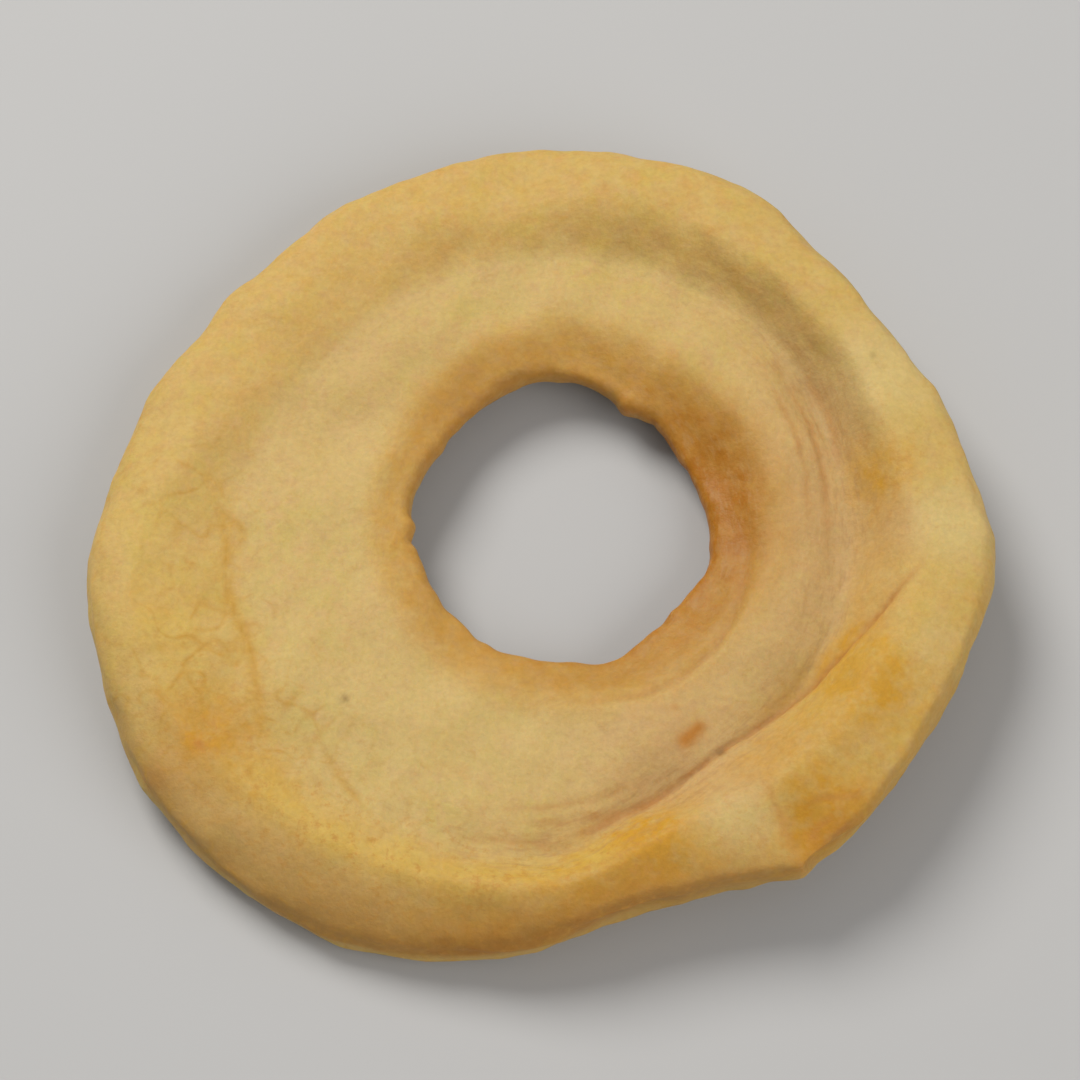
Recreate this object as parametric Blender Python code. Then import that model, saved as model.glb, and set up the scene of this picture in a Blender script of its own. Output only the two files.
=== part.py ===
"""A dried apple ring: one cored, peeled slice of apple, dried soft, lying on its back.

The ring is one solid. Its hole was cut by a round corer, its outer edge by a peeler, and drying has
curled the rim up round a crease, sunk the flesh round the hole and puffed the face between them.
Angles run anticlockwise from +X, seen from above. +Z is up, and the ring rests at z = 0.
"""

import math

import bpy
import numpy as np

MM = 0.001

# The slice as it was cut: a cored disc, with the middle of its hole at the centre of the angles.
HOLE_RADIUS = 12.5 * MM
OUTER_RADIUS = 35.0 * MM
FACE_THICKNESS = 6.4 * MM
LIP_THICKNESS = 2.7 * MM

# How round the two edges of the section are, as a length along the slice.
HOLE_EDGE_ROUND = 1.5 * MM
OUTER_EDGE_ROUND = 2.4 * MM

# Half the width of the crease, and how far the soft underside has settled on what it rests on.
CREASE_HALF_WIDTH = 2.8 * MM
SETTLED = 0.6 * MM

# The mesh: stations round the ring, and points round each section.
STATIONS = 140
SECTION_POINTS = 38

# What share of a section's points goes to its top, its outer edge and its underside.
TOP_SHARE = 0.46
OUTER_SHARE = 0.16
BOTTOM_SHARE = 0.27

# Where along the top the lip ends, the crease lies and the rim is highest.
LIP_SHARE = 0.18
CREASE_SHARE = 0.58
CREST_SHARE = 0.82

# Each feature is (angle in degrees, spread in degrees, amount in mm), and adds to a base value.
OUTLINE_FEATURES = (
    (230, 50, 6.7),
    (182, 28, 1.9),
    (262, 34, -1.9),
    (284, 13, -1.8),
    (311, 9, 0.75),
    (323, 12, 0.5),
    (350, 16, 1.6),
    (36, 24, -2.0),
    (66, 14, 0.4),
    (118, 34, 1.0),
)
OUTER_EDGE_FEATURES = ((312, 34, -1.0),)

# The pointed corner where the slice bent over: its angle in degrees, how far it stands out, how far its
# underside is drawn up, and over how many degrees each of the two fades.
CORNER_ANGLE = 302
CORNER_REACH = 1.6 * MM
CORNER_SPREAD = 6
CORNER_LIFT = 2.2 * MM
LIFT_SPREAD = 9

HOLE_FEATURES = (
    (178, 14, 0.25),
    (216, 18, -0.35),
    (318, 16, -0.25),
    (352, 13, 0.3),
    (58, 18, -0.3),
    (94, 34, 1.6),
    (270, 36, -0.4),
)
CREASE_RADIUS = 25.0 * MM
CREASE_RADIUS_FEATURES = (
    (6, 26, -0.9),
    (300, 20, -0.5),
    (262, 24, 4.2),
    (222, 26, 4.8),
    (180, 30, 2.2),
)
CREASE_DEPTH = 0.7 * MM
CREASE_DEPTH_FEATURES = (
    (8, 36, 0.6),
    (318, 24, 0.1),
    (228, 34, -0.6),
    (140, 48, -0.4),
)
RIM_RISE = 1.6 * MM
RIM_RISE_FEATURES = (
    (24, 44, 1.8),
    (318, 28, 2.2),
    (275, 18, 1.3),
    (226, 34, -1.5),
    (172, 40, -0.9),
    (105, 34, -0.6),
)
CREST_INSET = 5.0 * MM
CREST_INSET_FEATURES = (
    (230, 22, 1.8),
    (200, 18, -1.4),
    (312, 20, 0.8),
)
EDGE_FALL = 0.9 * MM
EDGE_FALL_FEATURES = (
    (240, 34, 2.5),
    (312, 14, 0.5),
    (172, 36, 0.3),
)
LIP_DROP = 1.1 * MM
LIP_DROP_FEATURES = (
    (14, 52, 1.6),
    (298, 34, 0.8),
    (180, 40, -0.7),
)
LIP_WIDTH = 3.4 * MM
LIP_WIDTH_FEATURES = (
    (8, 50, 1.7),
    (296, 30, 0.4),
    (180, 45, -1.2),
)

# How sharply the slope outside the rim's crest breaks from it: 1 is a sharp break, and more is softer.
RIDGE_POWER = 1.35

# How square the peeled flank is: 1 is a round edge, and less is squarer.
FLANK_POWER = 0.68
SQUARE_FLANK = (302, 40, 0.32)
HOLE_POWER = 0.70

# Slow waves of the whole slice: (how many round the ring, angle of a crest in degrees, height in mm).
WAVES = (
    (2, 24, 0.7),
    (3, 82, 0.45),
)

# Low lumps left where the flesh shrank unevenly: (round the ring, across it, phase, height in mm).
LUMPS = (
    (4, 1.2, 0.4, 0.18),
    (7, 1.9, 2.6, 0.15),
    (9, 0.8, 4.1, 0.13),
    (12, 2.3, 1.2, 0.09),
)

# Flats that the peeler left round the outer edge, and how deep each one is cut below the arc.
PEELER_FLATS = 13
FLAT_DEPTH = 0.28 * MM

FLESH_COLOUR = (0.56, 0.38, 0.14, 1.0)
FLESH_ROUGHNESS = 0.62


def degrees_from(angle, centre):
    """How far each angle is from one given in degrees, the short way round."""
    return np.degrees((angle - math.radians(centre) + math.pi) % math.tau - math.pi)


def features_at(angle, base, features):
    """The base value with every feature's swelling at these angles added, in metres."""
    total = np.full_like(angle, base)
    for centre, spread, amount in features:
        total += amount * MM * np.exp(-((degrees_from(angle, centre) / spread) ** 2))
    return total


def smooth_step(value):
    """0 up to 0, 1 from 1, and an even curve between them."""
    share = np.clip(value, 0.0, 1.0)
    return share * share * (3.0 - 2.0 * share)


def corner_peak(angle, spread):
    """1 at the pointed corner, falling away from it on both sides."""
    return np.exp(-np.abs(degrees_from(angle, CORNER_ANGLE)) / spread)


def outer_radius(angle):
    """The outline, with its corner, and with the flats of the peeler cut into it."""
    turn = angle + 0.17 * np.sin(2.0 * angle + 0.7) + 0.09 * np.sin(5.0 * angle)
    across_flat = (turn * PEELER_FLATS / math.tau) % 1.0 - 0.5
    cut = FLAT_DEPTH * (1.0 - 4.0 * across_flat**2)
    corner = CORNER_REACH * corner_peak(angle, CORNER_SPREAD)
    return features_at(angle, OUTER_RADIUS, OUTLINE_FEATURES) + corner + 0.6 * FLAT_DEPTH - cut


def crease_radius(angle):
    return features_at(angle, CREASE_RADIUS, CREASE_RADIUS_FEATURES)


def lip_width(angle):
    return features_at(angle, LIP_WIDTH, LIP_WIDTH_FEATURES)


def outer_edge_round(angle):
    return features_at(angle, OUTER_EDGE_ROUND, OUTER_EDGE_FEATURES)


def crest_radius(angle, outer):
    return outer - features_at(angle, CREST_INSET, CREST_INSET_FEATURES)


def top_height(angle, radius, hole, outer):
    """The shown face: a sunk lip round the hole, a puffed face, a crease and a raised rim."""
    crease = crease_radius(angle)
    crest = crest_radius(angle, outer)
    depth = features_at(angle, CREASE_DEPTH, CREASE_DEPTH_FEATURES)
    rise = features_at(angle, RIM_RISE, RIM_RISE_FEATURES)
    edge_fall = features_at(angle, EDGE_FALL, EDGE_FALL_FEATURES)
    drop = features_at(angle, LIP_DROP, LIP_DROP_FEATURES)
    lip = smooth_step(1.0 - (radius - hole) / (lip_width(angle) + HOLE_EDGE_ROUND))
    valley = np.exp(-(((radius - crease) / CREASE_HALF_WIDTH) ** 2))
    climb = smooth_step((radius - crease + 0.5 * MM) / np.maximum(crest - crease, 4.5 * MM))
    fall = np.clip((radius - crest) / (outer - crest), 0.0, 1.0) ** RIDGE_POWER
    return FACE_THICKNESS - drop * lip - depth * valley + rise * climb - edge_fall * fall


def bottom_height(angle, radius, hole, outer):
    """The underside: flat under the crease, lifted a little at the hole, and more at rim and corner."""
    crease = crease_radius(angle)
    rise = features_at(angle, RIM_RISE, RIM_RISE_FEATURES)
    drop = features_at(angle, LIP_DROP, LIP_DROP_FEATURES)
    lip_lift = np.maximum(FACE_THICKNESS - LIP_THICKNESS - drop, 0.4 * MM)
    to_hole = smooth_step((crease - radius) / (crease - hole))
    to_rim = smooth_step((radius - crease) / (outer - crease))
    face = np.exp(-(((radius - 0.5 * (crease + hole)) / (4.5 * MM)) ** 2))
    rim_lift = 0.95 * rise + CORNER_LIFT * corner_peak(angle, LIFT_SPREAD)
    return lip_lift * to_hole + rim_lift * to_rim + 0.5 * MM * face


def waves_at(angle, radius):
    """How far the whole slice is bent up or down there."""
    height = np.zeros_like(angle)
    for count, crest, amount in WAVES:
        height += amount * MM * np.cos(count * (angle - math.radians(crest)))
    return height * (radius / OUTER_RADIUS) ** 2


def lumps_at(angle, share, side):
    """Low lumps, different on the two faces."""
    height = np.zeros_like(angle)
    for count, across, phase, amount in LUMPS:
        swing = np.sin(count * angle + phase + 2.0 * side)
        height += amount * MM * swing * np.cos(math.tau * across * share + phase)
    return height


def section_place(turn):
    """Where a point of the section lies, from its share of the way round: the share of the way from
    the hole to the outer edge, and how far round each of the two edges it is, in radians. An edge's
    turn is 0 on the side that it is reached from, and pi on the other."""
    bottom_start = TOP_SHARE + OUTER_SHARE
    hole_start = bottom_start + BOTTOM_SHARE
    top_along = turn / TOP_SHARE
    bottom_along = np.clip(1.0 - (turn - bottom_start) / BOTTOM_SHARE, 0.0, 1.0)
    along = np.where(turn < TOP_SHARE, top_along, np.where(turn < bottom_start, 1.0, bottom_along))
    outer_turn = np.clip((turn - TOP_SHARE) / OUTER_SHARE, 0.0, 1.0) * math.pi
    hole_turn = np.clip((turn - hole_start) / (1.0 - hole_start), 0.0, 1.0) * math.pi
    return along, outer_turn, hole_turn


def radius_along(along, angle, hole, outer):
    """The radius at each share of the way along the section, so that the mesh's rows follow the lip's
    edge, the crease and the crest of the rim round the ring."""
    crease = crease_radius(angle)
    flat_from = hole + HOLE_EDGE_ROUND
    flat_to = outer - outer_edge_round(angle)
    lip_end = flat_from + lip_width(angle)
    crest = np.clip(crest_radius(angle, outer), crease + 3.0 * MM, flat_to - 1.0 * MM)
    shares = (0.0, LIP_SHARE, CREASE_SHARE, CREST_SHARE, 1.0)
    stops = (flat_from, lip_end, crease, crest, flat_to)
    radius = flat_from
    for start, end, low, high in zip(shares, shares[1:], stops, stops[1:]):
        radius = radius + (high - low) * np.clip((along - start) / (end - start), 0.0, 1.0)
    return radius


def edge_shape(edge_turn, power):
    """A rounded edge's reach, from 0 to 1 and back, and its side, from 1 to -1, as it turns over."""
    level = np.cos(edge_turn)
    reach = np.abs(np.sin(edge_turn)) ** power
    return reach, np.sign(level) * np.abs(level) ** power


def ring_points(angle, turn):
    """The ring's surface: a point for each angle round the ring and turn round its section."""
    along, outer_turn, hole_turn = section_place(turn)
    outer = outer_radius(angle)
    hole = features_at(angle, HOLE_RADIUS, HOLE_FEATURES)
    centre, spread, squarer = SQUARE_FLANK
    flank_power = FLANK_POWER - squarer * np.exp(-((degrees_from(angle, centre) / spread) ** 2))
    outer_reach, outer_side = edge_shape(outer_turn, flank_power)
    hole_reach, hole_side = edge_shape(hole_turn, HOLE_POWER)
    radius = radius_along(along, angle, hole, outer)
    radius += outer_edge_round(angle) * outer_reach - HOLE_EDGE_ROUND * hole_reach
    side = np.where(turn < TOP_SHARE + OUTER_SHARE, outer_side, -hole_side)
    share = (radius - hole) / (outer - hole)
    top = top_height(angle, radius, hole, outer) + lumps_at(angle, share, 1.0)
    bottom = bottom_height(angle, radius, hole, outer) + lumps_at(angle, share, -1.0)
    height = 0.5 * (top + bottom) + 0.5 * (top - bottom) * side + waves_at(angle, radius)
    return np.stack([radius * np.cos(angle), radius * np.sin(angle), height], axis=-1)


def settled(points):
    """The points moved down until the underside has flattened by SETTLED, and centred over z = 0."""
    points = points - [0.0, 0.0, points[:, 2].min() + SETTLED]
    points[:, 2] = np.maximum(points[:, 2], 0.0)
    middle = 0.5 * (points[:, :2].min(axis=0) + points[:, :2].max(axis=0))
    points[:, :2] -= middle
    return points


def flesh_material():
    material = bpy.data.materials.new("dried_apple_flesh")
    material.use_nodes = True
    shader = material.node_tree.nodes["Principled BSDF"]
    shader.inputs["Base Color"].default_value = FLESH_COLOUR
    shader.inputs["Roughness"].default_value = FLESH_ROUGHNESS
    shader.inputs["Metallic"].default_value = 0.0
    return material


def apple_ring(collection):
    """A torus primitive, each of whose points moves to its place on the slice."""
    tube_radius = 0.5 * (OUTER_RADIUS - HOLE_RADIUS)
    middle_radius = HOLE_RADIUS + tube_radius
    bpy.ops.mesh.primitive_torus_add(
        major_segments=STATIONS,
        minor_segments=SECTION_POINTS,
        major_radius=middle_radius,
        minor_radius=tube_radius,
    )
    ring = bpy.context.object
    ring.name = "apple_ring"
    ring.data.name = "apple_ring"
    places = np.empty(len(ring.data.vertices) * 3)
    ring.data.vertices.foreach_get("co", places)
    x, y, z = places.reshape(-1, 3).T
    angle = np.arctan2(y, x)
    around_tube = np.arctan2(z, np.hypot(x, y) - middle_radius)
    # The tube's turn runs from its inner side over the top, as the section's does.
    turn = ((math.pi - around_tube) / math.tau + 0.5 / SECTION_POINTS) % 1.0
    ring.data.vertices.foreach_set("co", settled(ring_points(angle, turn)).ravel())
    ring.data.update()
    ring.data.shade_smooth()
    ring.data.materials.append(flesh_material())
    for owner in ring.users_collection:
        owner.objects.unlink(ring)
    collection.objects.link(ring)
    return ring


def main():
    for old in list(bpy.data.objects):
        bpy.data.objects.remove(old)
    collection = bpy.data.collections.new("dried_apple_ring")
    bpy.context.scene.collection.children.link(collection)
    apple_ring(collection)


main()
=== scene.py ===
"""A dried apple ring, lying with its shown face up on a pale table top."""

import math

import bmesh
import bpy
import numpy as np
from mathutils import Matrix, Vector


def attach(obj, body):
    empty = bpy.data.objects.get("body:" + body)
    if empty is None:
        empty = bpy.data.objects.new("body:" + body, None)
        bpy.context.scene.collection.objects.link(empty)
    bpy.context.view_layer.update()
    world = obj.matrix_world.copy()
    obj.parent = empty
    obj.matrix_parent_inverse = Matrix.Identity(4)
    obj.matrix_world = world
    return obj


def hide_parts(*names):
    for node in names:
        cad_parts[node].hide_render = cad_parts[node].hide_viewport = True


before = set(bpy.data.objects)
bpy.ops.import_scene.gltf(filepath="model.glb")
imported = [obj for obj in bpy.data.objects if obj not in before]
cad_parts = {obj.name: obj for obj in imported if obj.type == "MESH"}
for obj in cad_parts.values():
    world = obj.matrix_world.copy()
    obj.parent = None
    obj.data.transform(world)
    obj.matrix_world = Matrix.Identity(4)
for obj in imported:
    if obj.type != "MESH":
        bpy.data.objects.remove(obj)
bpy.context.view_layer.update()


# THE APPLE SLICE
# One cross slice of a peeled, cored apple, dried until soft and leathery: a puffed cream face, a
# crease where it bent, a golden curled rim, and a brown sunk lip round the cored hole.
# Lengths are in mm until the mesh is done. Angles run anticlockwise from +X round the hole.

MM = 0.001
HOLE_RADIUS = 12.5
OUTER_RADIUS = 35.0
FACE_THICKNESS = 6.4
LIP_THICKNESS = 2.7
HOLE_EDGE_ROUND = 1.5
OUTER_EDGE_ROUND = 2.4
CREASE_HALF_WIDTH = 2.8
SETTLED = 0.6

# How many points go round the ring, and how many round a section of it.
STATIONS = 560
SECTION_POINTS = 168

# The share of a section's points over the top, round the flank and under. The hole's wall has the rest.
TOP_SHARE = 0.46
OUTER_SHARE = 0.16
BOTTOM_SHARE = 0.27

# The share of the top's points up to the lip's end, the crease and the crest of the rim.
LIP_SHARE = 0.18
CREASE_SHARE = 0.58
CREST_SHARE = 0.82

# Each swell is (angle in degrees, spread in degrees, amount), and adds to a base value.
OUTLINE_SWELLS = (
    (230, 50, 6.7),
    (182, 28, 1.9),
    (262, 34, -1.9),
    (284, 13, -1.8),
    (311, 9, 0.75),
    (323, 12, 0.5),
    (350, 16, 1.6),
    (36, 24, -2.0),
    (66, 14, 0.4),
    (118, 34, 1.0),
)
OUTER_EDGE_SWELLS = ((312, 34, -1.0),)
CORNER_ANGLE = 302
CORNER_REACH = 1.6
CORNER_SPREAD = 6
CORNER_LIFT = 2.2
LIFT_SPREAD = 9
HOLE_SWELLS = (
    (178, 14, 0.25),
    (216, 18, -0.35),
    (318, 16, -0.25),
    (352, 13, 0.3),
    (58, 18, -0.3),
    (94, 34, 1.6),
    (270, 36, -0.4),
)
CREASE_RADIUS = 25.0
CREASE_RADIUS_SWELLS = (
    (6, 26, -0.9),
    (300, 20, -0.5),
    (262, 24, 4.2),
    (222, 26, 4.8),
    (180, 30, 2.2),
)
CREASE_DEPTH = 0.7
CREASE_DEPTH_SWELLS = (
    (8, 36, 0.6),
    (318, 24, 0.1),
    (228, 34, -0.6),
    (140, 48, -0.4),
)
RIM_RISE = 1.6
RIM_RISE_SWELLS = (
    (24, 44, 1.8),
    (318, 28, 2.2),
    (275, 18, 1.3),
    (226, 34, -1.5),
    (172, 40, -0.9),
    (105, 34, -0.6),
)
CREST_INSET = 5.0
CREST_INSET_SWELLS = (
    (230, 22, 1.8),
    (200, 18, -1.4),
    (312, 20, 0.8),
)
EDGE_FALL = 0.9
EDGE_FALL_SWELLS = (
    (240, 34, 2.5),
    (312, 14, 0.5),
    (172, 36, 0.3),
)
LIP_DROP = 1.1
LIP_DROP_SWELLS = (
    (14, 52, 1.6),
    (298, 34, 0.8),
    (180, 40, -0.7),
)
LIP_WIDTH = 3.4
LIP_WIDTH_SWELLS = (
    (8, 50, 1.7),
    (296, 30, 0.4),
    (180, 45, -1.2),
)

# The powers of the slope outside the crest, the flank and the hole's wall. A low one is squarer.
# The flank is squarer still by the corner: (angle, spread, how much lower its power is).
RIDGE_POWER = 1.35
FLANK_POWER = 0.68
SQUARE_FLANK = (302, 40, 0.32)
HOLE_POWER = 0.70

# The crest keeps clear of the crease and the edge. The rim starts its climb just inside the crease.
CREST_PAST_CREASE = 3.0
CREST_WITHIN_EDGE = 1.0
CLIMB_START = 0.5
LEAST_CLIMB = 4.5

# The underside lifts at the hole, follows most of the rim's rise, and is hollow under the face.
LEAST_LIP_LIFT = 0.4
RIM_LIFT_SHARE = 0.95
HOLLOW_DEPTH = 0.5
HOLLOW_WIDTH = 4.5

# Each wave of the whole slice is (count round it, angle of a crest in degrees, amount).
WAVES = (
    (2, 24, 0.7),
    (3, 82, 0.45),
)

# Each set of lumps is (count round the ring, count across it, phase, amount). The top's are
# shifted one way and the underside's the other.
LUMPS = (
    (4, 1.2, 0.4, 0.18),
    (7, 1.9, 2.6, 0.15),
    (9, 0.8, 4.1, 0.13),
    (12, 2.3, 1.2, 0.09),
)
LUMP_SHIFT = 2.0

# The peeler's flats. Their mean depth is added back, so that the ring keeps its size.
# Uneven turns bring them closer together and further apart: each is (count, phase, amount).
PEELER_FLATS = 13
FLAT_DEPTH = 0.28
FLAT_MEAN = 0.6
UNEVEN_TURNS = (
    (2.0, 0.7, 0.17),
    (5.0, 0.0, 0.09),
)

# The loose ring that the flat sheet is rolled into before it is shaped.
ROLLED_RADIUS = 24.0
ROLLED_TUBE = 10.0
JOIN_DISTANCE = 0.001


def degrees_from(angle, centre):
    """How far each angle is from one given in degrees, the short way round."""
    return np.degrees((angle - math.radians(centre) + math.pi) % math.tau - math.pi)


def swelled(angle, base, swells):
    """The base value with every swell at these angles added."""
    total = np.full_like(angle, base)
    for centre, spread, amount in swells:
        total += amount * np.exp(-((degrees_from(angle, centre) / spread) ** 2))
    return total


def smooth_step(value):
    """0 up to 0, 1 from 1, and an even curve between them."""
    share = np.clip(value, 0.0, 1.0)
    return share * share * (3.0 - 2.0 * share)


# A flat sheet of quads, rolled up both ways into a closed ring. Each point keeps its angle round
# the hole and its turn round the section: over the top, round the flank, under, and up the wall.
sheet = bmesh.new()
bmesh.ops.create_grid(sheet, x_segments=STATIONS, y_segments=SECTION_POINTS, size=0.5)
angle_layer = sheet.verts.layers.float.new("angle")
turn_layer = sheet.verts.layers.float.new("turn")
for point in sheet.verts:
    station = round((point.co.x + 0.5) * STATIONS) % STATIONS
    step = round((point.co.y + 0.5) * SECTION_POINTS) % SECTION_POINTS
    point[angle_layer] = math.tau * station / STATIONS
    point[turn_layer] = step / SECTION_POINTS
    bearing = point[angle_layer]
    rolled = math.tau * point[turn_layer]
    reach = ROLLED_RADIUS - ROLLED_TUBE * math.cos(rolled)
    point.co = (reach * math.cos(bearing), reach * math.sin(bearing), ROLLED_TUBE * math.sin(rolled))
bmesh.ops.remove_doubles(sheet, verts=sheet.verts[:], dist=JOIN_DISTANCE)
bmesh.ops.recalc_face_normals(sheet, faces=sheet.faces[:])
slice_mesh = bpy.data.meshes.new("dried_apple_slice")
sheet.to_mesh(slice_mesh)
sheet.free()

point_count = len(slice_mesh.vertices)
angle = np.empty(point_count, dtype=np.float32)
turn = np.empty(point_count, dtype=np.float32)
slice_mesh.attributes["angle"].data.foreach_get("value", angle)
slice_mesh.attributes["turn"].data.foreach_get("value", turn)
angle = angle.astype(float)
turn = turn.astype(float)
slice_mesh.attributes.remove(slice_mesh.attributes["angle"])
slice_mesh.attributes.remove(slice_mesh.attributes["turn"])

# The outline, with its pointed corner and the flats that the peeler left, and the corer's hole.
uneven_turn = angle
for count, phase, amount in UNEVEN_TURNS:
    uneven_turn = uneven_turn + amount * np.sin(count * angle + phase)
across_flat = (uneven_turn * PEELER_FLATS / math.tau) % 1.0 - 0.5
flat_cut = FLAT_DEPTH * (1.0 - 4.0 * across_flat**2)
from_corner = np.abs(degrees_from(angle, CORNER_ANGLE))
outer = swelled(angle, OUTER_RADIUS, OUTLINE_SWELLS) + FLAT_MEAN * FLAT_DEPTH - flat_cut
outer += CORNER_REACH * np.exp(-from_corner / CORNER_SPREAD)
edge_round = swelled(angle, OUTER_EDGE_ROUND, OUTER_EDGE_SWELLS)
hole = swelled(angle, HOLE_RADIUS, HOLE_SWELLS)
crease = swelled(angle, CREASE_RADIUS, CREASE_RADIUS_SWELLS)
crest = outer - swelled(angle, CREST_INSET, CREST_INSET_SWELLS)
lip_width = swelled(angle, LIP_WIDTH, LIP_WIDTH_SWELLS)

# How far along the top or the underside each point is, and how far round the flank or the wall.
under_start = TOP_SHARE + OUTER_SHARE
wall_start = under_start + BOTTOM_SHARE
outwards = np.minimum(turn / TOP_SHARE, 1.0)
inwards = 1.0 - (turn - under_start) / BOTTOM_SHARE
along = np.clip(np.where(turn < under_start, outwards, inwards), 0.0, 1.0)
flank_turn = np.clip((turn - TOP_SHARE) / OUTER_SHARE, 0.0, 1.0) * math.pi
wall_turn = np.clip((turn - wall_start) / (1.0 - wall_start), 0.0, 1.0) * math.pi

inner_flat = hole + HOLE_EDGE_ROUND
outer_flat = outer - edge_round
crest_stop = np.clip(crest, crease + CREST_PAST_CREASE, outer_flat - CREST_WITHIN_EDGE)
stops = (inner_flat, inner_flat + lip_width, crease, crest_stop, outer_flat)
shares = (0.0, LIP_SHARE, CREASE_SHARE, CREST_SHARE, 1.0)
radius = inner_flat
for start, end, low, high in zip(shares, shares[1:], stops, stops[1:]):
    radius = radius + (high - low) * np.clip((along - start) / (end - start), 0.0, 1.0)


def rounded(edge_turn, power):
    """A rounded edge's reach, from 0 to 1 and back, and its side, from 1 to -1, as it turns."""
    level = np.cos(edge_turn)
    return np.abs(np.sin(edge_turn)) ** power, np.sign(level) * np.abs(level) ** power


square_at, square_spread, squarer = SQUARE_FLANK
from_square = degrees_from(angle, square_at) / square_spread
flank_power = FLANK_POWER - squarer * np.exp(-(from_square**2))
flank_reach, flank_side = rounded(flank_turn, flank_power)
wall_reach, wall_side = rounded(wall_turn, HOLE_POWER)
radius = radius + edge_round * flank_reach - HOLE_EDGE_ROUND * wall_reach
side = np.where(turn < under_start, flank_side, -wall_side)
share = (radius - hole) / (outer - hole)

# The shown face: a sunk lip round the hole, a puffed face, a crease and a raised rim.
rise = swelled(angle, RIM_RISE, RIM_RISE_SWELLS)
lip_drop = swelled(angle, LIP_DROP, LIP_DROP_SWELLS)
across_lip = (radius - hole) / (lip_width + HOLE_EDGE_ROUND)
valley = np.exp(-(((radius - crease) / CREASE_HALF_WIDTH) ** 2))
climb = smooth_step((radius - crease + CLIMB_START) / np.maximum(crest - crease, LEAST_CLIMB))
fall = np.clip((radius - crest) / (outer - crest), 0.0, 1.0) ** RIDGE_POWER
top = FACE_THICKNESS - lip_drop * smooth_step(1.0 - across_lip) + rise * climb
top -= swelled(angle, CREASE_DEPTH, CREASE_DEPTH_SWELLS) * valley
top -= swelled(angle, EDGE_FALL, EDGE_FALL_SWELLS) * fall

# The underside: flat under the crease, lifted a little at the hole, and more at the rim and corner.
lip_lift = np.maximum(FACE_THICKNESS - LIP_THICKNESS - lip_drop, LEAST_LIP_LIFT)
bottom = lip_lift * smooth_step((crease - radius) / (crease - hole))
rim_lift = RIM_LIFT_SHARE * rise + CORNER_LIFT * np.exp(-from_corner / LIFT_SPREAD)
bottom += rim_lift * smooth_step((radius - crease) / (outer - crease))
bottom += HOLLOW_DEPTH * np.exp(-(((radius - 0.5 * (crease + hole)) / HOLLOW_WIDTH) ** 2))

# Low lumps, different on the two faces, and the slow waves of the whole slice.
for count, across, phase, amount in LUMPS:
    ripple = amount * np.cos(math.tau * across * share + phase)
    top += ripple * np.sin(count * angle + phase + LUMP_SHIFT)
    bottom += ripple * np.sin(count * angle + phase - LUMP_SHIFT)
height = 0.5 * (top + bottom) + 0.5 * (top - bottom) * side
for count, wave_crest, amount in WAVES:
    wave = np.cos(count * (angle - math.radians(wave_crest)))
    height += amount * wave * (radius / OUTER_RADIUS) ** 2

x = radius * np.cos(angle)
y = radius * np.sin(angle)
places = np.stack([x, y, height], axis=-1)
middle = np.array([0.5 * (x.min() + x.max()), 0.5 * (y.min() + y.max()), height.min() + SETTLED])
slice_mesh.vertices.foreach_set("co", places.ravel())
slice_mesh.update()
outward = np.empty(point_count * 3)
slice_mesh.vertex_normals.foreach_get("vector", outward)
outward = outward.reshape(-1, 3)


def drift(field_places, wavelength, seed, waves=26):
    """A smooth random field, mostly from -1 to 1, with swells about a wavelength apart."""
    dice = np.random.default_rng(seed)
    total = np.zeros(len(field_places))
    for _ in range(waves):
        way = dice.normal(size=3)
        way *= math.tau * dice.uniform(0.65, 1.45) / (wavelength * np.linalg.norm(way))
        total += np.sin(field_places @ way + dice.uniform(0.0, math.tau))
    return total * math.sqrt(1.6 / waves)


def drifts(field_places, fields):
    """Random fields added up: each is (wavelength, seed, amount)."""
    total = np.zeros(len(field_places))
    for wavelength, seed, amount in fields:
        total += amount * drift(field_places, wavelength, seed)
    return total


def drawn_way(way, across):
    """Places for a field that is drawn out round the ring: (radius there, change across it)."""
    reach, quickness = way
    return np.stack([reach * np.cos(angle), reach * np.sin(angle), quickness * across], axis=-1)


def line_away(line):
    """How far each point is, seen from above, from a line through places, and how far along it."""
    nearest = np.full(point_count, 1e9)
    reached = np.zeros(point_count)
    passed = 0.0
    lengths = [math.dist(a, b) for a, b in zip(line, line[1:])]
    for (ax, ay), (bx, by), length in zip(line, line[1:], lengths):
        part = np.clip(((x - ax) * (bx - ax) + (y - ay) * (by - ay)) / length**2, 0.0, 1.0)
        away = np.hypot(x - ax - part * (bx - ax), y - ay - part * (by - ay))
        closer = away < nearest
        nearest = np.where(closer, away, nearest)
        reached = np.where(closer, passed + part * length, reached)
        passed += length
    return nearest, reached / passed


def strokes(rows):
    """Lines that fade out at both ends, added up: each is (line, strength, half width, taper)."""
    total = np.zeros(point_count)
    for line, strength, half_width, taper in rows:
        away, reached = line_away(line)
        ends = smooth_step(reached / taper) * smooth_step((1.0 - reached) / taper)
        total += strength * np.exp(-((away / half_width) ** 2)) * (0.15 + 0.85 * ends)
    return total


def patches(spots):
    """Soft round patches: each is (x, y, size, strength)."""
    total = np.zeros(point_count)
    for spot_x, spot_y, size, strength in spots:
        total += strength * np.exp(-((x - spot_x) ** 2 + (y - spot_y) ** 2) / size**2)
    return total


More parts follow.
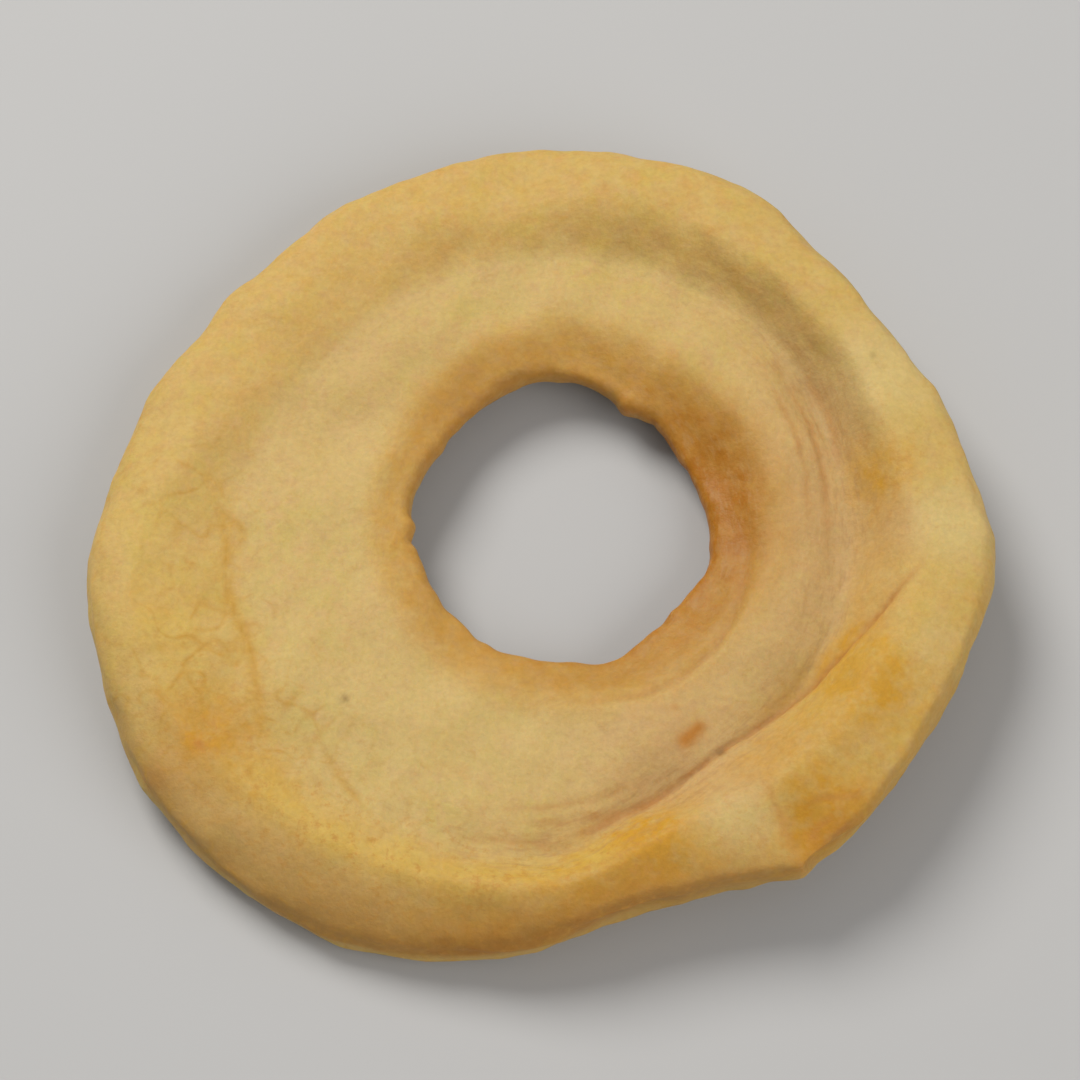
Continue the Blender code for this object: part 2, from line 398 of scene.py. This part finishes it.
# The sharp fold from the crease out into the rim, the shade under it, and the wrinkles beside it.
FOLD = (
    (30.4, -5.0),
    (28.6, -6.9),
    (24.5, -11.6),
    (19.3, -16.3),
    (13.2, -20.6),
    (7.1, -25.0),
    (2.7, -27.1),
    (0.0, -27.9),
)
FOLD_SHADE = ((26.6, -8.3), (22.6, -12.4), (18.6, -15.9), (14.6, -18.7))
SIDE_WRINKLES = (
    ((7.9, -24.4), (3.6, -26.0), (0.1, -26.7), (-4.2, -26.6)),
    ((7.3, -22.9), (2.7, -24.6), (-1.6, -25.5), (-5.1, -25.4)),
    ((1.5, -28.9), (-2.6, -28.3), (-6.4, -28.1), (-9.4, -28.3)),
    ((17.4, 13.4), (19.8, 8.7), (20.9, 4.0), (20.9, -1.2)),
    ((18.8, 14.0), (21.4, 9.0), (22.6, 3.4), (22.4, -3.0)),
    ((20.6, 14.6), (23.0, 9.6), (24.0, 3.2)),
)

# The small fold over the corner, the way across it, and the fine lines on the facet beyond it.
CORNER_FOLD = ((16.2, -23.6), (17.0, -25.6), (18.1, -27.9), (19.4, -31.4))
ACROSS_CORNER = (0.93, 0.37)
CORNER_LINES = (
    ((19.4, -26.4), (21.0, -25.6), (23.2, -25.6), (25.4, -25.0)),
    ((19.9, -29.6), (20.7, -27.9), (22.4, -26.9)),
    ((22.0, -28.8), (23.4, -27.6)),
)

# The groove that bounds the sunk lip, and the strings that show through the flat side.
LIP_GROOVE = (
    (15.6, 1.8),
    (15.7, -3.0),
    (15.0, -7.2),
    (12.9, -11.4),
    (10.2, -14.0),
    (7.1, -15.7),
    (2.7, -16.3),
    (-2.0, -16.2),
)
STRINGS = (
    ((-29.8, 3.4), (-28.3, -1.3), (-27.7, -7.5), (-25.7, -12.2), (-24.8, -17.5), (-24.5, -21.6)),
    ((-34.2, -12.4), (-32.1, -11.9), (-28.9, -12.0)),
    ((-28.9, 1.0), (-26.6, -1.2), (-27.2, -3.4)),
    ((-32.0, -16.2), (-28.3, -17.2), (-25.4, -18.0)),
    ((-23.2, -17.8), (-21.2, -15.2)),
    ((-19.9, -19.8), (-18.2, -23.0), (-15.6, -26.2)),
)

# Where each point lies, with soft changes between the four.
SIDE_EDGE = 0.5
on_top = smooth_step(side / SIDE_EDGE)
under = smooth_step(-side / SIDE_EDGE)
on_flank = smooth_step(flank_reach * 1.4 - 0.4) * (turn < under_start + 0.02)
on_wall = smooth_step(wall_reach * 1.3 - 0.3)

# Drying pulled the surface into soft dimples, finer in the crease, where it is pressed together.
DIMPLES = ((8.0, 11, 0.10), (3.6, 12, 0.040), (1.7, 13, 0.012))
CREASE_PLEATS = ((7.0, 14, 0.040), (3.8, 15, 0.014))
CREASE_PRESS = 0.35
CREASE_PRESS_SWELLS = ((20, 40, 0.35), (275, 26, 0.35), (120, 40, -0.1))
FACE_WAY = (26.0, 5.5)
ring_way = drawn_way(FACE_WAY, radius - crease)
relief = drifts(places, DIMPLES)
pressed = valley * swelled(angle, CREASE_PRESS, CREASE_PRESS_SWELLS)
relief += pressed * drifts(ring_way, CREASE_PLEATS)

# The rim laps a little over the face along the fold. Both fade out towards the fold's two ends.
LAP_HEIGHT = 0.36
LAP_EDGE = 0.5
LAP_WIDTH = 2.6
LAP_GROOVE = 0.22
LAP_GROOVE_WIDTH = 0.45
FOLD_FADE = (0.4, 0.18)
fold_angles, fold_radii = zip(*sorted((math.atan2(b, a), math.hypot(a, b)) for a, b in FOLD))
fold_angle = (angle + math.pi) % math.tau - math.pi
beyond = radius - np.interp(fold_angle, fold_angles, fold_radii)
lap = smooth_step(0.5 + beyond / LAP_EDGE) * np.exp(-np.maximum(beyond, 0.0) / LAP_WIDTH)
fold_ends = smooth_step((fold_angle - fold_angles[0]) / FOLD_FADE[0])
fold_ends *= smooth_step((fold_angles[-1] - fold_angle) / FOLD_FADE[1])
lap_groove = np.exp(-((beyond / LAP_GROOVE_WIDTH) ** 2))
relief += on_top * fold_ends * (LAP_HEIGHT * lap - LAP_GROOVE * lap_groove)

# The corner beyond its own fold is bent down.
CORNER_BEND = 0.55
BEND_EDGE = 1.2
BEND_Y = -28.5
BEND_LENGTH = 4.0
BEND_WIDTH = 4.5
corner_x, corner_y = CORNER_FOLD[0]
past_corner = (x - corner_x) * ACROSS_CORNER[0] + (y - corner_y) * ACROSS_CORNER[1]
bend_along = (y - BEND_Y) / BEND_LENGTH
bend_across = np.maximum(past_corner, 0.0) / BEND_WIDTH
near_corner = np.exp(-(bend_along**2) - bend_across**2)
relief -= on_top * near_corner * CORNER_BEND * smooth_step(past_corner / BEND_EDGE)

# Wrinkles, groove, strings and the corner's fold are pressed in.
PRESSED_LINES = (
    *((wrinkle, 0.07, 0.42, 0.3) for wrinkle in SIDE_WRINKLES),
    (LIP_GROOVE, 0.26, 0.5, 0.35),
    *((string, 0.05, 0.5, 0.3) for string in STRINGS),
    (CORNER_FOLD, 0.14, 0.45, 0.2),
)
relief -= on_top * strokes(PRESSED_LINES)

# The flank shrank most across its own width, so its wrinkles run round the ring. The
# underside's are fainter and run the same way.
FLANK_WRINKLES = ((9.0, 18, 0.07), (4.5, 19, 0.035))
UNDERSIDE_WRINKLES = ((9.0, 20, 0.05),)
FLANK_WAY = (30.0, 5.0)
relief += on_flank * drifts(drawn_way(FLANK_WAY, height), FLANK_WRINKLES)
relief += under * drifts(ring_way, UNDERSIDE_WRINKLES)

# The hole's wall is drawn into soft upright pleats, with a nick or two where the corer tore it.
WALL_PLEATS = ((7.0, 16, 0.13), (2.6, 17, 0.05))
WALL_WAY = (13.0, 0.3)
NICK_DEPTH = 0.40
NICK_SWELLS = (
    (181, 3.0, 1.0),
    (188, 2.2, -0.8),
    (64, 3.5, 0.6),
    (52, 2.5, -0.5),
    (322, 3.0, 0.5),
    (240, 4.0, 0.35),
)
relief += on_wall * drifts(drawn_way(WALL_WAY, height), WALL_PLEATS)
relief += NICK_DEPTH * on_wall * swelled(angle, 0.0, NICK_SWELLS)

shaped = places + outward * relief[:, None] - middle
shaped[:, 2] = np.maximum(shaped[:, 2], 0.0)
slice_mesh.vertices.foreach_set("co", (shaped * MM).ravel())
slice_mesh.update()
slice_mesh.shade_smooth()


def paint(name, values):
    """Keeps a value at every point of the slice for its material to read."""
    attribute = slice_mesh.attributes.new(name, "FLOAT", "POINT")
    attribute.data.foreach_set("value", np.clip(values, 0.0, 1.0).astype(np.float32))


# Where the flesh is golden: over the curled rim, most of all low on the right, and on the lip.
# The gold in the strip beside the fold is painted shade.
LOWER_RIDGE = (
    (-29.0, -20.5),
    (-25.2, -23.4),
    (-20.6, -27.3),
    (-15.0, -30.0),
    (-8.0, -31.9),
    (-2.0, -31.7),
    (3.0, -30.5),
)
CORNER_FACET = (21.2, -28.0, 4.2, 1.0)
FACET_EDGE = 1.8
GOLD_START = 0.6
GOLD_EDGE = 2.6
LIP_STAIN_REACH = 1.4
GOLDEN_RIM = 0.28
GOLDEN_RIM_SWELLS = ((322, 24, 0.22), (282, 14, 0.22), (20, 40, -0.10), (205, 44, -0.16))
GOLDEN_SLOPE_SWELLS = ((270, 26, 1.0),)
GOLDEN_LINES = (
    (STRINGS[0], 0.20, 1.4, 0.3),
    (LOWER_RIDGE, 0.32, 1.6, 0.2),
    (FOLD_SHADE, 0.25, 1.0, 0.3),
)
GOLDEN_PATCHES = (
    (25.0, -14.7, 3.0, 0.95),
    (27.0, 3.6, 2.8, 0.48),
    (22.0, -27.6, 3.2, 0.45),
    (6.5, -29.9, 3.6, 0.62),
    (1.8, -30.8, 2.8, 0.35),
    (-29.0, -18.5, 3.8, 0.55),
    (-29.8, -20.2, 1.3, 0.35),
    (-24.5, -22.8, 3.0, 0.25),
    (-33.0, -9.0, 3.6, 0.26),
)
LESS_GOLDEN_PATCHES = (
    (14.3, -27.9, 3.8, 0.45),
    (27.5, 11.6, 4.6, 0.35),
    (32.5, -2.0, 3.6, 0.45),
    (30.0, -12.5, 3.4, 0.25),
    (24.5, -23.0, 3.0, 0.18),
    (12.6, -24.6, 3.0, 0.15),
)
rim = smooth_step((radius - crease + GOLD_START) / GOLD_EDGE)
facet = smooth_step(0.5 + past_corner / FACET_EDGE) * patches([CORNER_FACET])
past_lip = smooth_step(LIP_STAIN_REACH - across_lip)
golden = rim * swelled(angle, GOLDEN_RIM, GOLDEN_RIM_SWELLS)
# The golden lines include painted shade in the strip beside the fold.
golden += on_top * (patches(GOLDEN_PATCHES) + strokes(GOLDEN_LINES) + 0.42 * past_lip)
golden += on_top * (0.35 * facet + 0.30 * fall * swelled(angle, 0.0, GOLDEN_SLOPE_SWELLS))
golden -= on_top * patches(LESS_GOLDEN_PATCHES)
paint("golden", golden)

# Where it has browned: the sunk lip and the hole's wall. Low on the slope outside the crest, and
# in a strip beside the fold, the brown is partly painted shade.
BROWN_REACH = 1.36
BROWN_SLOPE = 1.08
BROWNED_LIP = 0.36
BROWNED_LIP_SWELLS = ((14, 40, 0.60), (310, 40, 0.22), (128, 26, 0.10), (180, 40, -0.12))
SLOPE_BROWN_AND_SHADE_SWELLS = ((268, 30, 0.62), (308, 10, 0.15))
BROWNED_SHADE = ((FOLD_SHADE, 0.14, 0.9, 0.3),)
BROWNED_PATCHES = (
    (-7.5, -35.5, 5.0, 0.12),
    (-29.0, -19.6, 4.2, 0.24),
    (-33.8, -22.8, 1.6, 0.35),
    (25.2, -15.0, 2.2, 0.16),
)
lip_band = smooth_step(BROWN_REACH - BROWN_SLOPE * across_lip)
browned = lip_band * swelled(angle, BROWNED_LIP, BROWNED_LIP_SWELLS) + 0.20 * on_wall
# Browner low on the slope, partly as painted shade where it turns down.
browned += on_top * fall * swelled(angle, 0.0, SLOPE_BROWN_AND_SHADE_SWELLS)
# The strip beside the fold is painted shade.
browned += on_top * (0.22 * facet + strokes(BROWNED_SHADE) + patches(BROWNED_PATCHES))
paint("browned", browned)

# Where it is tan: the flank, and the long slope at the lower left. Both are partly painted shade:
# the flank is painted darker low on the right, and the slope darker where it turns down.
TANNED_FLANK = 0.20
FLANK_TAN_AND_SHADE_SWELLS = ((290, 20, 0.45), (328, 20, 0.40), (20, 60, -0.14))
SLOPE_TAN_AND_SHADE_SWELLS = ((238, 34, 0.85), (280, 20, 0.30))
# A painted shadow on the face, high on the left of the hole.
PAINTED_SHADOW_PATCHES = ((-14.0, 14.0, 9.0, 0.12),)
tanned = on_flank * swelled(angle, TANNED_FLANK, FLANK_TAN_AND_SHADE_SWELLS)
tanned += on_top * (fall * swelled(angle, 0.0, SLOPE_TAN_AND_SHADE_SWELLS) + patches(PAINTED_SHADOW_PATCHES))
paint("tanned", tanned)

# Painted shade down in the crease, where the flesh is painted duller and a little pinker.
CREASE_SHADE = 0.08
CREASE_SHADE_SWELLS = ((18, 30, 0.50), (300, 24, 0.2), (228, 40, -0.08))
paint("dull", on_top * valley * swelled(angle, CREASE_SHADE, CREASE_SHADE_SWELLS))

# Where it is pinker: between the lip and the rim, and over the lower left.
PINKER_START = 4.0
PINKER_EDGE = 3.0
PINKER_SWELLS = ((0, 44, 0.85), (292, 24, 0.75), (150, 30, 0.25))
PINKER_PATCHES = (
    (-24.0, -27.5, 4.5, 0.45),
    (-18.0, -33.0, 5.0, 0.45),
    (-31.0, -23.0, 4.5, 0.5),
    (-13.0, -10.0, 6.0, 0.3),
)
pinker = smooth_step((radius - hole - PINKER_START) / PINKER_EDGE)
pinker *= smooth_step((crest - radius) / PINKER_EDGE)
pinker *= swelled(angle, 0.0, PINKER_SWELLS)
paint("blushed", on_top * (pinker + patches(PINKER_PATCHES)))

# Where it is yellower: at the left edge and in places on the rim. Along the lower ridge the yellow
# is a painted highlight.
RIDGE_HIGHLIGHT_LINES = ((LOWER_RIDGE, 0.55, 1.7, 0.2),)
YELLOWER_PATCHES = (
    (-35.0, -2.0, 5.0, 0.3),
    (-33.0, -12.0, 5.0, 0.4),
    (24.8, -14.0, 2.6, 0.35),
    (20.5, -16.4, 2.6, 0.30),
    (29.5, -6.5, 3.5, 0.4),
    (2.5, -30.0, 2.2, 0.5),
    (29.0, 8.0, 4.0, 0.3),
)
paint("yellowed", on_top * (strokes(RIDGE_HIGHLIGHT_LINES) + patches(YELLOWER_PATCHES)))

# Paler flesh in the middle of the face, and painted highlights on what stands proud: the rim at
# the right, the lower ridge and the corner's tip.
PALE_AND_HIGHLIGHT_PATCHES = (
    (10.4, -22.6, 3.4, 0.30),
    (14.3, -27.6, 3.0, 0.22),
    (19.2, -30.6, 0.8, 0.60),
    (27.5, 11.6, 4.6, 0.85),
    (32.5, -2.0, 3.4, 0.85),
    (30.0, -12.5, 3.0, 0.45),
    (-13.2, -16.0, 9.0, 0.45),
    (1.3, -19.5, 6.0, 0.45),
    (-3.0, -30.4, 1.5, 0.55),
    (-15.5, 4.0, 7.0, 0.35),
    (-19.0, -26.4, 3.4, 0.25),
    (-13.0, -28.8, 2.8, 0.20),
)
paint("pale", on_top * (1.0 - facet) * patches(PALE_AND_HIGHLIGHT_PATCHES))

# Fine streaks drawn round the ring where the flesh was pressed.
STREAKED_CREASE = 0.10
STREAKED_CREASE_SWELLS = ((10, 60, 0.5), (285, 34, 0.6))
flow = slice_mesh.attributes.new("flow", "FLOAT_VECTOR", "POINT")
flow.data.foreach_set("vector", (ring_way * MM).astype(np.float32).ravel())
streaked = valley * swelled(angle, STREAKED_CREASE, STREAKED_CREASE_SWELLS) + 0.35 * past_lip
paint("streaked", on_top * streaked)

# A web of veins, most of it at the left, and on the flank.
VEINED_PATCHES = (
    (-31.0, -14.0, 8.0, 0.55),
    (-24.0, -20.0, 6.0, 0.40),
    (-31.0, 2.0, 6.0, 0.40),
    (22.5, -25.5, 4.5, 0.55),
    (-12.0, -25.0, 6.0, 0.20),
    (19.0, -17.0, 5.0, 0.25),
)
paint("veined", on_top * patches(VEINED_PATCHES) + 0.35 * on_flank)

# Small orange flecks, thickest along the lower ridge, on the slope below it and on the facet.
FLECKED_LINES = ((LOWER_RIDGE, 0.55, 3.6, 0.2),)
FLECKED_SLOPE_SWELLS = ((262, 44, 1.0),)
FLECKED_PATCHES = (
    (6.5, -30.0, 5.0, 0.55),
    (21.5, -27.0, 5.0, 0.45),
    (-29.5, -17.0, 6.0, 0.35),
    (27.0, 3.6, 4.0, 0.30),
    (26.0, -14.0, 4.0, 0.20),
)
flecked = 0.16 + strokes(FLECKED_LINES) + 0.40 * fall * swelled(angle, 0.0, FLECKED_SLOPE_SWELLS)
flecked += patches(FLECKED_PATCHES)
paint("flecked", on_top * flecked + 0.2 * (1.0 - on_top))

# Thin lines of painted shade, brownish, in the folds, the wrinkles and the lip's groove; fine brown
# lines on the corner's facet; and the strings.
SHADE_AND_BROWN_LINES = (
    (FOLD, 0.74, 0.34, 0.1),
    (LIP_GROOVE, 0.42, 0.36, 0.35),
    *((wrinkle, 0.38, 0.30, 0.3) for wrinkle in SIDE_WRINKLES),
    (CORNER_FOLD, 0.30, 0.34, 0.2),
    *((corner_line, 0.48, 0.34, 0.3) for corner_line in CORNER_LINES),
)
STRING_LINES = (
    (STRINGS[0], 0.25, 0.6, 0.2),
    *((string, 0.50, 0.36, 0.3) for string in STRINGS),
)
paint("lines", on_top * strokes(SHADE_AND_BROWN_LINES))
paint("strings", on_top * strokes(STRING_LINES))

# One oval brown spot by the fold, a few small ones, and three dark specks.
SPOTS = (
    (10.2, -19.7, 0.70, 0.95),
    (10.8, -19.1, 0.56, 0.70),
    (11.4, -18.5, 0.62, 0.90),
    (9.4, -16.9, 0.34, 0.50),
    (-29.9, -20.3, 0.40, 0.85),
    (-29.5, -20.7, 0.34, 0.45),
)
SPECKS = (
    (-17.9, -16.3, 0.36, 0.65),
    (13.2, -20.7, 0.36, 0.8),
    (26.5, 13.6, 0.3, 0.4),
)
paint("spots", on_top * patches(SPOTS))
paint("specks", on_top * patches(SPECKS))

apple_ring = bpy.data.objects.new("dried_apple_slice", slice_mesh)
bpy.context.scene.collection.objects.link(apple_ring)


def put(tree, kind, inputs=None, **settings):
    """A new node with its settings made, and its inputs set to a value or joined to a socket."""
    made = tree.nodes.new(kind)
    for name, value in settings.items():
        setattr(made, name, value)
    for name, value in (inputs or {}).items():
        if isinstance(value, bpy.types.NodeSocket):
            tree.links.new(value, made.inputs[name])
        else:
            made.inputs[name].default_value = value
    return made


def maths(tree, how, *values):
    """The output of a Math node on these values or sockets."""
    return put(tree, "ShaderNodeMath", dict(enumerate(values)), operation=how).outputs[0]


def blend(tree, amount, below, above, how="MIX"):
    """One colour laid over another by an amount."""
    sockets = {0: amount, 6: below, 7: above}
    return put(tree, "ShaderNodeMix", sockets, data_type="RGBA", blend_type=how).outputs[2]


def noise(tree, where, scale, detail=2.0, rough=0.5):
    """A noise texture."""
    sockets = {"Vector": where, "Scale": scale, "Detail": detail, "Roughness": rough}
    return put(tree, "ShaderNodeTexNoise", sockets)


# A painted patch's edge, broken up so that it frays into its surroundings as stains in flesh do.
frayed = bpy.data.node_groups.new("frayed patch", "ShaderNodeTree")
for name in ("Patch", "Tear", "Fray"):
    frayed.interface.new_socket(name, in_out="INPUT", socket_type="NodeSocketFloat")
frayed.interface.new_socket("Patch", in_out="OUTPUT", socket_type="NodeSocketFloat")
fray_in = frayed.nodes.new("NodeGroupInput")
fray_out = frayed.nodes.new("NodeGroupOutput")
off_middle = maths(frayed, "SUBTRACT", fray_in.outputs["Tear"], 0.5)
swing = maths(frayed, "MULTIPLY", off_middle, fray_in.outputs["Fray"])
kept = maths(frayed, "MULTIPLY", fray_in.outputs["Patch"], maths(frayed, "ADD", 1.0, swing))
clipped = put(frayed, "ShaderNodeClamp", {"Value": kept})
frayed.links.new(clipped.outputs[0], fray_out.inputs["Patch"])

CREAM = (0.565, 0.405, 0.140, 1.0)
OLIVE = (0.545, 0.405, 0.122, 1.0)
BLUSH = (0.560, 0.365, 0.140, 1.0)
PALE = (0.610, 0.455, 0.180, 1.0)
PINK = (0.545, 0.345, 0.140, 1.0)
YELLOW = (0.585, 0.405, 0.092, 1.0)
GOLD = (0.560, 0.290, 0.024, 1.0)
BROWN = (0.390, 0.150, 0.010, 1.0)
TAN = (0.420, 0.245, 0.070, 1.0)
DULL = (0.440, 0.300, 0.130, 1.0)
STREAK = (0.450, 0.260, 0.095, 1.0)
FLECK = (0.500, 0.245, 0.045, 1.0)
VEIN = (0.500, 0.275, 0.040, 1.0)
LINE = (0.440, 0.190, 0.045, 1.0)
SPOT = (0.465, 0.195, 0.032, 1.0)
SPECK = (0.200, 0.105, 0.030, 1.0)

# The scale of each noise, in swells per metre.
BROAD_SCALE = 260.0
CLOSE_SCALE = 700.0
STREAK_SCALE = 420.0
FLECK_SCALE = 1150.0
GRAIN_SCALE = 2000.0

flesh = bpy.data.materials.new("dried_apple_flesh")
flesh.use_nodes = True
tree = flesh.node_tree
shader = tree.nodes["Principled BSDF"]
where = put(tree, "ShaderNodeTexCoord").outputs["Object"]


def painted(name):
    """What was painted on the slice under this name."""
    return put(tree, "ShaderNodeAttribute", attribute_name=name).outputs["Fac"]


def fray(name, tear, amount):
    """A painted patch with a frayed edge."""
    group = tree.nodes.new("ShaderNodeGroup")
    group.node_tree = frayed
    tree.links.new(painted(name), group.inputs["Patch"])
    tree.links.new(tear, group.inputs["Tear"])
    group.inputs["Fray"].default_value = amount
    return group.outputs["Patch"]


def banded(value, low, high, start=0.0, end=1.0):
    """A texture's value, stretched from one range to another."""
    limits = {"Value": value, "From Min": low, "From Max": high, "To Min": start, "To Max": end}
    return put(tree, "ShaderNodeMapRange", limits).outputs[0]


def three_noises(scale, detail, rough):
    """Three unlike noises of one size."""
    colours = noise(tree, where, scale, detail, rough).outputs["Color"]
    return put(tree, "ShaderNodeSeparateColor", {0: colours}).outputs


# Cream flesh, mottled with greener and pinker patches from 1 to 4 mm across, then its stains,
# and the painted shade and painted highlights laid over it as colour.
broad = three_noises(BROAD_SCALE, 1.0, 0.6)
close = three_noises(CLOSE_SCALE, 2.0, 0.65)
colour = blend(tree, banded(broad[0], 0.44, 0.70), CREAM, OLIVE)
colour = blend(tree, banded(close[1], 0.42, 0.72), colour, BLUSH)
# Paler flesh, and painted highlights on what stands proud.
colour = blend(tree, fray("pale", close[0], 1.6), colour, PALE)
# Painted shade in the crease.
colour = blend(tree, fray("dull", close[1], 1.6), colour, DULL)
colour = blend(tree, fray("blushed", close[2], 1.8), colour, PINK)
# Gold, with painted shade in the strip beside the fold.
colour = blend(tree, fray("golden", close[2], 2.6), colour, GOLD)
# Yellower flesh, and the lower ridge's painted highlight.
colour = blend(tree, fray("yellowed", broad[0], 2.0), colour, YELLOW)
# Tan, with painted shade on the flank and the lower slope, and a painted shadow high on the left.
colour = blend(tree, fray("tanned", broad[1], 1.2), colour, TAN)
# Brown, with painted shade low on the slope and beside the fold.
brown_share = fray("browned", close[0], 0.9)
colour = blend(tree, brown_share, colour, BROWN)

# Streaks: a noise stretched round the ring. Flecks: the peaks of a noise under a mm across.
# Veins: the thin lines where a noise crosses its middle.
VEIN_HALF_WIDTH = 0.045
round_the_ring = put(tree, "ShaderNodeAttribute", attribute_name="flow").outputs["Vector"]
streak_noise = noise(tree, round_the_ring, STREAK_SCALE, 2.0, 0.6).outputs["Fac"]
streak = maths(tree, "MULTIPLY", banded(streak_noise, 0.50, 0.68), painted("streaked"))
colour = blend(tree, streak, colour, STREAK)
fleck_noise = noise(tree, where, FLECK_SCALE, 3.0, 0.75).outputs["Fac"]
fleck = maths(tree, "MULTIPLY", banded(fleck_noise, 0.53, 0.68), painted("flecked"))
colour = blend(tree, fleck, colour, FLECK)
from_middle = maths(tree, "ABSOLUTE", maths(tree, "SUBTRACT", broad[2], 0.5))
thin = banded(from_middle, 0.0, VEIN_HALF_WIDTH, 1.0, 0.0)
colour = blend(tree, maths(tree, "MULTIPLY", thin, fray("veined", close[1], 4.0)), colour, VEIN)
colour = blend(tree, fray("strings", close[2], 1.8), colour, VEIN)
# Painted shade in the folds, wrinkles and groove, and fine brown lines on the corner's facet.
colour = blend(tree, fray("lines", close[2], 1.4), colour, LINE)
colour = blend(tree, painted("spots"), colour, SPOT)
colour = blend(tree, painted("specks"), colour, SPECK)

# The velvet of torn cells: a grain of light and dark a fraction of a mm across.
grain = noise(tree, where, GRAIN_SCALE, 2.0, 0.65).outputs["Fac"]
lit = banded(grain, 0.3, 0.7, 0.94, 1.06)
grey_grain = put(tree, "ShaderNodeCombineColor", {0: lit, 1: lit, 2: lit}).outputs[0]
tree.links.new(blend(tree, 1.0, colour, grey_grain, "MULTIPLY"), shader.inputs["Base Color"])

# The browned lip is a little glossier than the rest.
FLESH_ROUGHNESS = 0.62
LIP_ROUGHNESS = 0.48
rough = banded(brown_share, 0.0, 1.0, FLESH_ROUGHNESS, LIP_ROUGHNESS)
tree.links.new(rough, shader.inputs["Roughness"])
bump = put(tree, "ShaderNodeBump", {"Strength": 0.5, "Distance": 0.00014, "Height": grain})
tree.links.new(bump.outputs[0], shader.inputs["Normal"])

shader.inputs["Subsurface Weight"].default_value = 0.35
shader.inputs["Subsurface Radius"].default_value = (1.0, 0.50, 0.18)
shader.inputs["Subsurface Scale"].default_value = 0.0016
shader.inputs["Specular IOR Level"].default_value = 0.22
slice_mesh.materials.append(flesh)

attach(apple_ring, "root")
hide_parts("apple_ring")


# THE TABLE TOP
# A plain pale matt board, wide enough to fill the view. It lies a hair below the slice, so that
# the two surfaces don't meet.

TABLE_WIDTH = 4.0
TABLE_DROP = 0.0001
BOARD_DARK = (0.47, 0.468, 0.462, 1.0)
BOARD_LIGHT = (0.49, 0.488, 0.482, 1.0)
BOARD_SCALE = 9.0

bpy.ops.mesh.primitive_plane_add(size=TABLE_WIDTH, location=(0.0, 0.0, -TABLE_DROP))
table_top = bpy.context.object
table_top.name = "table_top"
board = bpy.data.materials.new("pale_board")
board.use_nodes = True
board_tree = board.node_tree
board_shader = board_tree.nodes["Principled BSDF"]
board_where = put(board_tree, "ShaderNodeTexCoord").outputs["Object"]
board_cloud = noise(board_tree, board_where, BOARD_SCALE, 3.0, 0.5).outputs["Fac"]
board_colour = blend(board_tree, board_cloud, BOARD_DARK, BOARD_LIGHT)
board_tree.links.new(board_colour, board_shader.inputs["Base Color"])
board_shader.inputs["Roughness"].default_value = 0.75
board_shader.inputs["Specular IOR Level"].default_value = 0.2
table_top.data.materials.append(board)


# LIGHT AND CAMERA
# A wide soft lamp high on the left, a weaker one low on the right, and an even pale surrounding.
# The camera looks down on the slice from the photograph's side.


def soft_lamp(name, place, width, watts, tint):
    """A round soft light that faces the ring."""
    light = bpy.data.lights.new(name, "AREA")
    light.shape = "DISK"
    light.size = width
    light.energy = watts
    light.color = tint
    lamp = bpy.data.objects.new(name, light)
    bpy.context.scene.collection.objects.link(lamp)
    lamp.location = place
    lamp.rotation_euler = Vector(place).to_track_quat("Z", "Y").to_euler()


soft_lamp("key_lamp", (-0.30, 0.40, 0.54), 0.40, 4.7, (1.0, 0.975, 0.94))
soft_lamp("fill_lamp", (0.46, -0.34, 0.40), 0.60, 2.2, (1.0, 0.98, 0.96))
surround = bpy.data.worlds.new("studio")
bpy.context.scene.world = surround
surround.use_nodes = True
background = surround.node_tree.nodes["Background"]
background.inputs["Color"].default_value = (0.97, 0.98, 1.0, 1.0)
background.inputs["Strength"].default_value = 0.30
bpy.context.scene.view_settings.view_transform = "Standard"

VIEW_ELEVATION = math.radians(68)
VIEW_DISTANCE = 0.305
LENS = 120.0
aim = Vector((0.0, -0.0005, 0.005))
towards = Vector((0.0, -math.cos(VIEW_ELEVATION), math.sin(VIEW_ELEVATION)))
camera_data = bpy.data.cameras.new("camera")
camera_data.lens = LENS
camera = bpy.data.objects.new("camera", camera_data)
bpy.context.scene.collection.objects.link(camera)
camera.location = aim + towards * VIEW_DISTANCE
camera.rotation_euler = towards.to_track_quat("Z", "Y").to_euler()
bpy.context.scene.camera = camera
